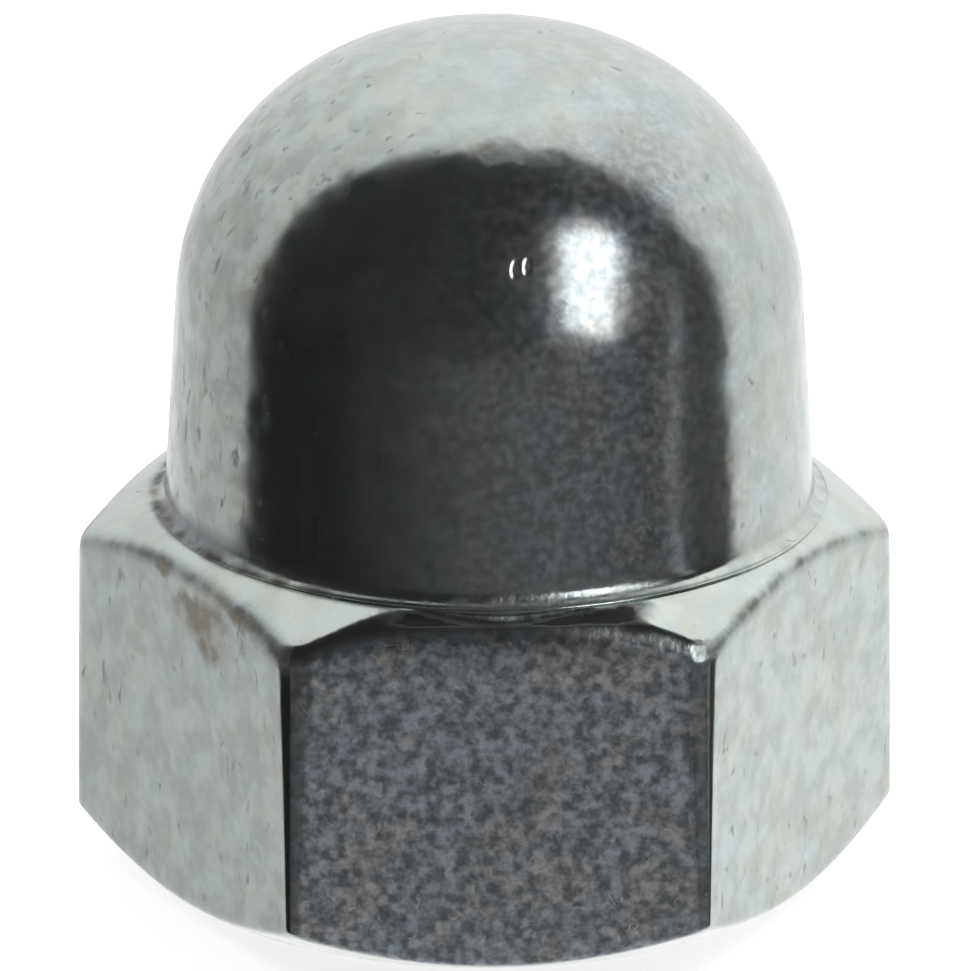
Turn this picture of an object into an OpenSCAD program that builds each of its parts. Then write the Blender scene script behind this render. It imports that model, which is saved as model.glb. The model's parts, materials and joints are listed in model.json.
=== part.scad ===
// Domed cap nut: a hexagon nut closed by a high dome, made as one piece of steel and tapped blind.
// Millimetres. The bearing face lies in the plane z = 0, the thread runs up the Z axis and the dome
// is at the top. Two opposite corners of the hexagon lie on the X axis, so one flat faces -Y.

/* [Thread and hole] */
// Nominal diameter of the metric thread
thread_d = 12; // [10:0.5:13]
// Pitch of the thread
thread_pitch = 1.75; // [1:0.25:2.5]
// Metal left between the drill's point and the top of the dome
end_wall = 2.8; // [1.5:0.1:8]
// Angle of the drill's point at the end of the hole
drill_angle = 118; // [90:2:140]
// How much wider than the thread the countersink's mouth is, on the diameter
mouth_clearance = 0.8; // [0.2:0.1:1.5]
// Angle between the sides of the countersink
countersink_angle = 90; // [60:5:120]

/* [Hexagon] */
// Width across the flats
across_flats = 18; // [17:0.25:24]
// Height from the bearing face to the shoulder under the dome
hexagon_h = 9.6; // [8:0.1:12]
// Radius of the six upright edges
upright_edge_r = 0.25; // [0.1:0.05:1]
// How far the bearing face's rim lies inside the flats
bearing_inset = 0.6; // [0.1:0.05:1]
// Slope of the bottom chamfer, in degrees from the bearing face
bottom_slope = 32; // [20:1:50]
// Slope of the top chamfer, in degrees from the shoulder
top_slope = 32; // [20:1:45]

/* [Dome] */
// Height from the bearing face to the top of the dome
overall_h = 21.75; // [19:0.05:28]
// How far the dome's straight side lies inside the flats
dome_inset = 1; // [0.5:0.05:2]
// Radius of the hollow fillet where the dome meets the shoulder
fillet_r = 0.35; // [0.1:0.05:0.8]
// Width of the flat shoulder between the fillet and the top chamfer
shoulder_w = 0.25; // [0.1:0.05:0.8]

/* [Hidden] */
$fn = 128;

// Amount by which one shape runs into the next, so that no two only touch
overlap = 0.5;

apothem = across_flats / 2;
// Centres of the upright edges' radii, which are the corners of a smaller hexagon
edge_centre_r = (apothem - upright_edge_r) / cos(30);
// Facets round each upright edge
corner_steps = 6;
// Past every corner, so that the turned outline trims the hexagon only at its chamfers
blank_r = apothem / cos(30) + overlap;

bearing_r = apothem - bearing_inset;
bottom_chamfer_h = (blank_r - bearing_r) * tan(bottom_slope);

dome_r = apothem - dome_inset;
dome_centre_z = overall_h - dome_r;
shoulder_r = dome_r + fillet_r + shoulder_w;
top_chamfer_h = (blank_r - shoulder_r) * tan(top_slope);

// Tapping drill of a metric thread: its diameter less one pitch
hole_r = (thread_d - thread_pitch) / 2;
drill_point_h = hole_r / tan(drill_angle / 2);
hole_h = overall_h - end_wall - drill_point_h;
mouth_r = (thread_d + mouth_clearance) / 2;
countersink_h = (mouth_r - hole_r) / tan(countersink_angle / 2);

// Points round one corner of the hexagon, from one flat's end to the next flat's start: the flats
// on its two sides face 30 degrees to either side of the corner
function corner_arc(corner) = [
    for (step = [0:corner_steps])
        let (facing = corner - 30 + 60 * step / corner_steps)
        edge_centre_r * [cos(corner), sin(corner)] + upright_edge_r * [cos(facing), sin(facing)]
];

module rounded_hexagon() {
    polygon([for (corner = [0:60:300]) each corner_arc(corner)]);
}

// What the lathe leaves of the bar: a chamfer under the corners and another over them
module turned_blank() {
    rotate_extrude() polygon([
        [0, 0],
        [bearing_r, 0],
        [blank_r, bottom_chamfer_h],
        [blank_r, hexagon_h - top_chamfer_h],
        [shoulder_r, hexagon_h],
        [0, hexagon_h]
    ]);
}

module hexagon_body() {
    intersection() {
        linear_extrude(hexagon_h + overlap) rounded_hexagon();
        turned_blank();
    }
}

// Half section of the dome: a straight side under a quarter circle
module dome_section() {
    translate([0, hexagon_h - overlap])
        square([dome_r, dome_centre_z - hexagon_h + overlap]);
    intersection() {
        translate([0, dome_centre_z]) circle(dome_r);
        translate([0, dome_centre_z - overlap]) square([dome_r, dome_r + overlap]);
    }
}

// Half section of the hollow fillet at the dome's foot
module fillet_section() {
    difference() {
        translate([dome_r - overlap, hexagon_h - overlap])
            square([fillet_r + overlap, fillet_r + overlap]);
        translate([dome_r + fillet_r, hexagon_h + fillet_r]) circle(fillet_r);
    }
}

module dome() {
    rotate_extrude() dome_section();
    rotate_extrude() fillet_section();
}

// Drilled hole with the drill's point at its end and a countersink at its mouth
module blind_hole() {
    translate([0, 0, -overlap]) cylinder(h = hole_h + overlap, r = hole_r);
    translate([0, 0, hole_h]) cylinder(h = drill_point_h, r1 = hole_r, r2 = 0);
    cylinder(h = countersink_h, r1 = mouth_r, r2 = hole_r);
    translate([0, 0, -overlap]) cylinder(h = overlap, r = mouth_r);
}

module cap_nut() {
    color("#a9b0ae") difference() {
        union() {
            hexagon_body();
            dome();
        }
        blind_hole();
    }
}

cap_nut();
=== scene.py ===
"""Visual model of a domed cap nut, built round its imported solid.

The nut is one piece of cold formed steel under a bright zinc plate. One closed surface stands for
it: the dome and its foot, the shoulder, the chamfered hexagon, the bearing face, and the blind
hole with its thread. Shapes are worked out in millimetres and become metres in the mesh.
"""

import json
import logging
import math
from dataclasses import dataclass, field
from enum import Enum
import bpy
import numpy as np
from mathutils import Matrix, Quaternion, Vector
from numpy.typing import NDArray


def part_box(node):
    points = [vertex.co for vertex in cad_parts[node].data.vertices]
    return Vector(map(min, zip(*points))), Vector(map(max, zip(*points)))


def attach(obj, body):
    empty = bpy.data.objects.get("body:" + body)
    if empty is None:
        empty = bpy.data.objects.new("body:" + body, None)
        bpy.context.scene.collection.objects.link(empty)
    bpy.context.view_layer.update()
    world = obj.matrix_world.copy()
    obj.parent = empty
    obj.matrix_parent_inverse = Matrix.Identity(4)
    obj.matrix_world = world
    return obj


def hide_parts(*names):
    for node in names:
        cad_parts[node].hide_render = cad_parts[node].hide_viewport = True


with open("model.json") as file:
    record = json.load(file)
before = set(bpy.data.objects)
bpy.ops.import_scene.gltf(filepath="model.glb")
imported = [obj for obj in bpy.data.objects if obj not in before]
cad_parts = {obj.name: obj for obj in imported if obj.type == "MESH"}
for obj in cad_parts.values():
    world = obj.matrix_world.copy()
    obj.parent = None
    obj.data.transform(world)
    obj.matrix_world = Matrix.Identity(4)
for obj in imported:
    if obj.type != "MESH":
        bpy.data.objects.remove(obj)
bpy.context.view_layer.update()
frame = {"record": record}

LOG = logging.getLogger("cap_nut")
NODE = "cap_nut"
MM = 0.001
TURN = 2 * math.pi
SECTOR = TURN / 6
Stops = tuple[tuple[float, float], ...]


class Flat(Enum):
    """The six flats, counted by their headings from the corner on the +X axis."""

    RIGHT_BACK = 0
    BACK = 1
    LEFT_BACK = 2
    LEFT_FRONT = 3
    FRONT = 4
    RIGHT_FRONT = 5


class Blemish(Enum):
    """The kinds of mark in known places."""

    STAIN = "browns and dulls it"
    SCAB = "leaves a grey matt patch"
    DINT = "dips it"


def linear(hex_colour: str) -> tuple[float, float, float, float]:
    """Turn an sRGB hex colour into linear RGBA.

    Args:
        hex_colour: Six hex digits after a hash, such as "#a9b0ae".

    Returns:
        Linear red, green and blue, and an alpha of 1.
    """
    channels = [int(hex_colour[place : place + 2], 16) / 255 for place in (1, 3, 5)]
    red, green, blue = (c / 12.92 if c <= 0.04045 else ((c + 0.055) / 1.055) ** 2.4 for c in channels)
    return red, green, blue, 1.0


def add_node(
    tree: bpy.types.NodeTree,
    kind: str,
    inputs: dict[int | str, object] | None = None,
    output: int | str = 0,
    **settings: object,
) -> bpy.types.NodeSocket | None:
    """Add a shader node with its settings and links.

    Args:
        tree: Node tree that receives the node.
        kind: Blender's name of the node type.
        inputs: Value or output socket for each input, by its name or its place in the list.
        output: Name or place of the output wanted.
        settings: Properties of the node itself, such as operation or blend_type.

    Returns:
        The output wanted, or None from a node that has no outputs.
    """
    node = tree.nodes.new(kind)
    for name, value in settings.items():
        setattr(node, name, value)
    for key, value in (inputs or {}).items():
        if isinstance(value, bpy.types.NodeSocket):
            tree.links.new(value, node.inputs[key])
        else:
            node.inputs[key].default_value = value
    return node.outputs[output] if len(node.outputs) else None


def spread(count: int) -> NDArray[np.float64]:
    """Places of a span's stations, from 0 to just under 1, close at both ends: (1 - cos(pi i/n)) / 2."""
    return (1 - np.cos(np.pi * np.arange(count) / count)) / 2


def graded(value: NDArray[np.float64], stops: Stops) -> NDArray[np.float64]:
    """Level at each value: straight between stops of a place and its level, and held beyond the ends."""
    places, levels = zip(*stops)
    return np.interp(value, places, levels)


def bell(
    value: NDArray[np.float64], middle: float, width: float | NDArray[np.float64]
) -> NDArray[np.float64]:
    """1 at the middle, and falling away on both sides as exp(-((value - middle) / width)^2)."""
    return np.exp(-(((value - middle) / width) ** 2))


def rounded_meeting(
    first: NDArray[np.float64], second: NDArray[np.float64], radius: float | NDArray[np.float64]
) -> NDArray[np.float64]:
    """Distance outside two faces that meet in a rounded edge.

    Away from the edge it is the larger of the two distances, a and b. Within a radius k of the
    edge it is the distance from an arc: sqrt(max(k + a, 0)^2 + max(k + b, 0)^2) - k.

    Args:
        first: Distance outside one face, negative inside.
        second: Distance outside the other face.
        radius: Radius of the edge, k.

    Returns:
        Distance outside the rounded pair.
    """
    inner = np.minimum(-radius, np.maximum(first, second))
    return inner + np.hypot(np.maximum(radius + first, 0), np.maximum(radius + second, 0))


def turned(
    heading: NDArray[np.float64], radius: float | NDArray[np.float64], height: float | NDArray[np.float64]
) -> NDArray[np.float64]:
    """Points (r cos h, r sin h, z) on the last axis, for headings h round the Z axis."""
    heading, radius, height = np.broadcast_arrays(heading, radius, height)
    return np.stack([radius * np.cos(heading), radius * np.sin(heading), height], axis=-1)


@dataclass
class HexagonBody:
    """The hexagon between its chamfers, with the shoulder above and the bearing face below."""

    across_flats: float
    height: float = 9.6
    shoulder_r: float = 8.55
    top_slope: float = math.radians(31.6)
    bearing_r: float = 8.38
    bottom_slope: float = math.radians(32)
    rolled_flat: Flat = Flat.FRONT
    # Each k is the radius of an edge.
    rolled_edge_k: float = 1.1
    top_edge_k: float = 0.2
    corner_edge_k: float = 0.3
    bottom_edge_k: float = 0.12
    shoulder_edge_k: float = 0.08
    rim_edge_k: float = 0.1
    edge_fade: float = 1.5
    upright_edge_low: float = 0.28
    upright_edge_high: float = 1.15
    flare: float = 1.6
    # Rays that find the surface start from this ring.
    core_r: float = 6.5
    core_z: float = 5.0
    halvings: int = 40
    # Rings from the dome's foot to the hole's mouth, span by span.
    span_stations: tuple[int, ...] = (16, 12, 30, 9, 7)

    @property
    def apothem(self) -> float:
        """Half the width across the flats."""
        return self.across_flats / 2

    @staticmethod
    def off_normal(points: NDArray[np.float64]) -> NDArray[np.float64]:
        """Angle round the axis from the normal of each point's nearest flat."""
        return np.mod(np.arctan2(points[..., 1], points[..., 0]), SECTOR) - SECTOR / 2

    @staticmethod
    def on_flat(points: NDArray[np.float64], flat: Flat) -> NDArray[np.bool_]:
        """Whether each point lies in the sector of that flat."""
        return np.mod(np.arctan2(points[..., 1], points[..., 0]), TURN) // SECTOR == flat.value

    def from_corner(self, points: NDArray[np.float64]) -> NDArray[np.float64]:
        """Distance along each point's nearest flat from that flat's nearer end."""
        reach = np.hypot(points[..., 0], points[..., 1])
        return self.apothem * math.tan(SECTOR / 2) - np.abs(reach * np.sin(self.off_normal(points)))

    def off_top_edge(self, points: NDArray[np.float64]) -> NDArray[np.float64]:
        """Distance outside the flats less that outside the top, which is 0 along the flats' top edges."""
        return self.outside_flats(points) - self.outside_top(points)

    def outside_flats(self, points: NDArray[np.float64]) -> NDArray[np.float64]:
        """Distance outside the six flats and the radii between them.

        The point is folded into the sector of its nearest flat, where n is its distance from the
        axis along the flat's normal and t its distance from the flat's middle. Round a corner the
        distance is that to the radius' centre, less the radius q, which grows with height.

        Args:
            points: Points on the last axis.

        Returns:
            Distance for each point, negative inside.
        """
        reach = np.hypot(points[..., 0], points[..., 1])
        off = self.off_normal(points)
        share = np.clip(points[..., 2] / self.height, 0, 1)
        q = self.upright_edge_low + (self.upright_edge_high - self.upright_edge_low) * share**self.flare
        past_flat = reach * np.cos(off) - (self.apothem - q)
        past_end = np.abs(reach * np.sin(off)) - (self.apothem - q) * math.tan(SECTOR / 2)
        return np.where(past_end > 0, np.hypot(past_flat, past_end), past_flat) - q

    def top_edge(self, points: NDArray[np.float64]) -> NDArray[np.float64]:
        """Radius of the flats' top edges, which is widest on the rolled flat.

        It is the flat's own radius in its middle and corner_edge_k at its ends, and changes between
        them as the distance from the middle to the power edge_fade.

        Args:
            points: Points near the edges, on the last axis.

        Returns:
            Radius for each point.
        """
        middle = np.where(self.on_flat(points, self.rolled_flat), self.rolled_edge_k, self.top_edge_k)
        share = np.abs(np.tan(self.off_normal(points))) / math.tan(SECTOR / 2)
        return middle + (self.corner_edge_k - middle) * np.minimum(share, 1) ** self.edge_fade

    def outside_top(self, points: NDArray[np.float64]) -> NDArray[np.float64]:
        """Distance above the shoulder plane and the top chamfer's cone, whichever is larger.

        Args:
            points: Points on the last axis.

        Returns:
            Distance for each point, negative below both.
        """
        reach = np.hypot(points[..., 0], points[..., 1])
        plane = points[..., 2] - self.height
        cone = (reach - self.shoulder_r) * math.sin(self.top_slope) + plane * math.cos(self.top_slope)
        return rounded_meeting(plane, cone, self.shoulder_edge_k)

    def outside_bottom(self, points: NDArray[np.float64]) -> NDArray[np.float64]:
        """Distance below the bearing plane and the bottom chamfer's cone, whichever is larger.

        Args:
            points: Points on the last axis.

        Returns:
            Distance for each point, negative above both.
        """
        reach = np.hypot(points[..., 0], points[..., 1])
        plane = -points[..., 2]
        cone = (reach - self.bearing_r) * math.sin(self.bottom_slope) + plane * math.cos(self.bottom_slope)
        return rounded_meeting(plane, cone, self.rim_edge_k)

    def outside(self, points: NDArray[np.float64]) -> NDArray[np.float64]:
        """Distance outside the whole body: flats, top and bottom, with their edges rounded."""
        sides = rounded_meeting(self.outside_flats(points), self.outside_top(points), self.top_edge(points))
        return rounded_meeting(sides, self.outside_bottom(points), self.bottom_edge_k)

    def corner_reach(self, heading: NDArray[np.float64]) -> NDArray[np.float64]:
        """Distance from the axis to the flats along each heading: apothem / cos(angle off the normal)."""
        off = np.mod(heading, SECTOR) - SECTOR / 2
        return self.apothem / np.cos(off)

    def cast(
        self, heading: NDArray[np.float64], reach: NDArray[np.float64], height: NDArray[np.float64]
    ) -> NDArray[np.float64]:
        """Move points on to the body's surface along rays from a ring inside it.

        Each ray lies in its column's upright plane and runs from the ring at (core_r, core_z)
        through the point given. The crossing is found by halving, for all rays at once.

        Args:
            heading: Heading of each column.
            reach: Distance from the axis of the points to run through.
            height: Height of those points.

        Returns:
            Points on the surface.
        """
        heading, reach, height = np.broadcast_arrays(heading, reach, height)
        along_r, along_z = reach - self.core_r, height - self.core_z
        length = np.hypot(along_r, along_z)
        along_r, along_z = along_r / length, along_z / length
        near, far = np.zeros_like(length), np.full_like(length, self.across_flats)
        for _ in range(self.halvings):
            middle = (near + far) / 2
            at = turned(heading, self.core_r + along_r * middle, self.core_z + along_z * middle)
            inside = self.outside(at) < 0
            near, far = np.where(inside, middle, near), np.where(inside, far, middle)
        return turned(heading, self.core_r + along_r * near, self.core_z + along_z * near)

    def grid(
        self, heading: NDArray[np.float64], foot: NDArray[np.float64], mouth_r: float
    ) -> NDArray[np.float64]:
        """Rings of points from the dome's foot, out over the chamfer, down the flats and in again.

        The knots are the foot, the shoulder's edge, the top of the flats, their bottom, the
        bearing face's rim and the hole's mouth. Stations between them crowd at the edges.

        Args:
            heading: Heading of each column.
            foot: Ring of points where the dome's fillet meets the shoulder.
            mouth_r: Radius of the hole's mouth in the bearing face.

        Returns:
            Array of rings, columns and coordinates.
        """
        edge_r = self.corner_reach(heading)
        top_z = self.height - (edge_r - self.shoulder_r) * math.tan(self.top_slope)
        low_z = (edge_r - self.bearing_r) * math.tan(self.bottom_slope)
        mouth = turned(heading, mouth_r, 0)
        knots = [
            foot,
            turned(heading, self.shoulder_r, self.height),
            turned(heading, edge_r, top_z),
            turned(heading, edge_r, low_z),
            turned(heading, self.bearing_r, 0),
            mouth,
        ]
        rings = []
        for start, end, count in zip(knots, knots[1:], self.span_stations):
            place = spread(count)[:, None, None]
            rings.append(start + (end - start) * place)
        through = np.concatenate(rings)
        x, y, z = np.moveaxis(through, -1, 0)
        points = self.cast(np.arctan2(y, x), np.hypot(x, y), z)
        points[0] = foot
        return np.concatenate([points, mouth[None]])


@dataclass
class Dome:
    """The dome: a flattish crown, a tighter knuckle, and a side with the draft of the die it left.

    It was formed in its own die, so its axis lies a little off the hexagon's.
    """

    top_z: float
    foot_z: float
    crown_r: float = 9.7
    knuckle_r: float = 7.075
    side_r: float = 7.87
    draft: float = 0.06
    fillet_r: float = 0.36
    offset_x: float = 0.108
    offset_y: float = -0.1
    arc_rings: int = 45
    side_rings: int = 14
    fillet_rings: int = 9

    @property
    def in_from_side(self) -> float:
        """How far the knuckle's centre lies from the dome's axis."""
        return self.side_r - self.knuckle_r

    @property
    def meet(self) -> float:
        """Angle off the axis at which the crown's arc runs into the knuckle's."""
        return math.asin(self.in_from_side / (self.crown_r - self.knuckle_r))

    @property
    def knuckle_z(self) -> float:
        """Height of the knuckle's centre."""
        return self.top_z - self.crown_r + (self.crown_r - self.knuckle_r) * math.cos(self.meet)

    @property
    def side_start(self) -> tuple[float, float]:
        """Radius and height where the knuckle runs into the side."""
        return (
            self.in_from_side + self.knuckle_r * math.cos(self.draft),
            self.knuckle_z + self.knuckle_r * math.sin(self.draft),
        )

    @property
    def side_end(self) -> tuple[float, float]:
        """Where the side runs into the fillet.

        Returns:
            Radius and height.
        """
        start_r, start_z = self.side_start
        end_z = self.foot_z + self.fillet_r * (1 - math.sin(self.draft))
        return start_r + (start_z - end_z) * math.tan(self.draft), end_z

    @property
    def foot_r(self) -> float:
        """Radius where the fillet runs into the shoulder."""
        return self.side_end[0] + self.fillet_r * math.cos(self.draft)

    def from_axis(self, points: NDArray[np.float64]) -> NDArray[np.float64]:
        """Distance of each point from the dome's own axis."""
        return np.hypot(points[..., 0] - self.offset_x, points[..., 1] - self.offset_y)

    def profile(self) -> tuple[NDArray[np.float64], NDArray[np.float64]]:
        """Radius and height of the rings from just under the pole down to the foot.

        With a the angle of the surface's normal off the axis, the crown is R sin a, and the
        knuckle is c + K sin a, c from the axis, from where the two arcs touch. The side is the
        straight line that carries on from the knuckle, and the fillet an arc that it touches.

        Returns:
            Radii and heights.
        """
        tilt = np.linspace(0, math.pi / 2 - self.draft, self.arc_rings + 1)[1:]
        on_crown = tilt < self.meet
        radius = np.where(on_crown, self.crown_r, self.knuckle_r)
        centre_z = np.where(on_crown, self.top_z - self.crown_r, self.knuckle_z)
        side = np.linspace(self.side_start, self.side_end, self.side_rings + 1)[1:]
        turn = np.linspace(math.pi + self.draft, 1.5 * math.pi, self.fillet_rings + 1)[1:]
        reach = [
            np.where(on_crown, 0, self.in_from_side) + radius * np.sin(tilt),
            side[:, 0],
            self.foot_r + self.fillet_r * np.cos(turn),
        ]
        height = [
            centre_z + radius * np.cos(tilt),
            side[:, 1],
            self.foot_z + self.fillet_r * (1 + np.sin(turn)),
        ]
        return np.concatenate(reach), np.concatenate(height)

    def grid(self, heading: NDArray[np.float64]) -> NDArray[np.float64]:
        """The profile's rings, turned about the dome's own axis.

        Args:
            heading: Heading of each column.

        Returns:
            Array of rings, columns and coordinates.
        """
        reach, height = self.profile()
        return turned(heading[None], reach[:, None], height[:, None]) + (self.offset_x, self.offset_y, 0)

    def pole(self) -> NDArray[np.float64]:
        """The point at the top of the dome."""
        return np.array([self.offset_x, self.offset_y, self.top_z])


@dataclass
class TappedHole:
    """The blind hole: a countersink, a right-hand metric thread, its run-out and the drill's point."""

    wall_r: float
    depth: float
    nominal_r: float = 6.0
    pitch: float = 1.75
    mouth_r: float = 6.4
    run_out: float = 2.2
    flank_angle: float = math.radians(30)
    root_share: float = 1 / 8
    drill_half_angle: float = math.radians(59)
    turns_below_mouth: float = 1.5
    flank_stations: int = 5
    point_rings: int = 6

    def groove(self) -> tuple[NDArray[np.float64], NDArray[np.float64]]:
        """Stations of one turn of the thread.

        The root is flat over an eighth of the pitch. Each flank rises at 30 degrees from square
        to the axis, up to the drilled wall, and the rest of the pitch is crest.

        Returns:
            The phase of each station as a share of the pitch, and its radius.
        """
        root_end = self.root_share / 2
        flank_end = root_end + (self.nominal_r - self.wall_r) * math.tan(self.flank_angle) / self.pitch
        rising = np.linspace(root_end, flank_end, self.flank_stations)
        crest = (flank_end + 0.5) / 2
        phase = np.concatenate([[-0.5, -crest], -rising[::-1], rising, [crest]])
        into_wall = np.clip((np.abs(phase) - root_end) * self.pitch / math.tan(self.flank_angle), 0, None)
        return phase, np.maximum(self.nominal_r - into_wall, self.wall_r)

    def grid(self, heading: NDArray[np.float64]) -> tuple[NDArray[np.float64], int]:
        """Rings of the thread, each of which climbs one pitch in a turn.

        A station's height is pitch * (turn number + phase + heading / full turn), held between the
        mouth and the thread's end. Its radius is the groove's, faded out at the run-out, or the
        countersink's where that is wider.

        Args:
            heading: Heading of each column, from 0 to a full turn.

        Returns:
            Array of rings, columns and coordinates, and how many rings make one pitch: the last
            column meets the first that many rings on.
        """
        phase, radius = self.groove()
        turns = math.ceil(self.depth / self.pitch) + 2
        height = self.pitch * (np.arange(turns)[:, None] - self.turns_below_mouth + phase).ravel()
        height = height[:, None] + self.pitch * heading[None] / TURN
        fade = np.clip((self.depth - height) / self.run_out, 0, 1)
        cut = self.wall_r + (np.tile(radius, turns)[:, None] - self.wall_r) * fade
        height = np.clip(height, 0, self.depth)
        return turned(heading[None], np.maximum(cut, self.mouth_r - height), height), len(phase)

    def point_grid(self, heading: NDArray[np.float64]) -> NDArray[np.float64]:
        """Rings of the drill's point: the radius shrinks evenly as the height grows.

        Args:
            heading: Heading of each column.

        Returns:
            Array of rings, columns and coordinates.
        """
        share = np.linspace(0, 1, self.point_rings + 1)[:-1, None]
        rise = self.wall_r / math.tan(self.drill_half_angle)
        return turned(heading[None], self.wall_r * (1 - share), self.depth + rise * share)

    def tip(self) -> NDArray[np.float64]:
        """The deepest point of the hole."""
        return np.array([0, 0, self.depth + self.wall_r / math.tan(self.drill_half_angle)])


@dataclass(frozen=True)
class Mark:
    """One blemish in a known place: an ellipsoid round a point, laid along axes that may be turned."""

    kind: Blemish
    centre: tuple[float, float, float]
    half_sizes: tuple[float, float, float]
    turn: tuple[float, float, float] = (0.0, 0.0, 0.0)
    strength: float = 1.0
    core: float = 0.4

    def mask(self, tree: bpy.types.NodeTree, place: bpy.types.NodeSocket) -> bpy.types.NodeSocket:
        """Shade from the mark's strength in its core to 0 at the ellipsoid's skin.

        Args:
            tree: Node tree of the material.
            place: Object coordinates in millimetres.

        Returns:
            The shade, as a socket.
        """
        laid = add_node(
            tree, "ShaderNodeMapping",
            {"Vector": place, "Location": self.centre, "Rotation": self.turn, "Scale": self.half_sizes},
            vector_type="TEXTURE",
        )
        away = add_node(tree, "ShaderNodeVectorMath", {0: laid}, "Value", operation="LENGTH")
        return add_node(
            tree, "ShaderNodeMapRange",
            {"Value": away, "From Min": 1.0, "From Max": self.core, "To Max": self.strength},
            interpolation_type="SMOOTHSTEP",
        )


@dataclass(frozen=True)
class Cloud:
    """Soft noise with lumps size_mm apart, stretched so that low becomes 0 and high becomes 1."""

    size_mm: float
    detail: float
    low: float
    high: float

    def shade(self, tree: bpy.types.NodeTree, place: bpy.types.NodeSocket) -> bpy.types.NodeSocket:
        """Shade from 0 to 1 at each place.

        Args:
            tree: Node tree of the material.
            place: Object coordinates in millimetres.

        Returns:
            The shade, as a socket.
        """
        noise = add_node(
            tree, "ShaderNodeTexNoise",
            {"Vector": place, "Scale": 1 / self.size_mm, "Detail": self.detail},
        )
        return add_node(
            tree, "ShaderNodeMapRange", {"Value": noise, "From Min": self.low, "From Max": self.high},
            interpolation_type="SMOOTHSTEP",
        )


@dataclass(frozen=True)
class Layer:
    """What one kind of wear does to the plate where its share is full.

    Its own colour covers tint times the share, and roughness and metallic change by the amounts given.
    """

    share: str
    colour: str
    tint: float
    roughens: float
    dulls: float = 0.0


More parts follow.
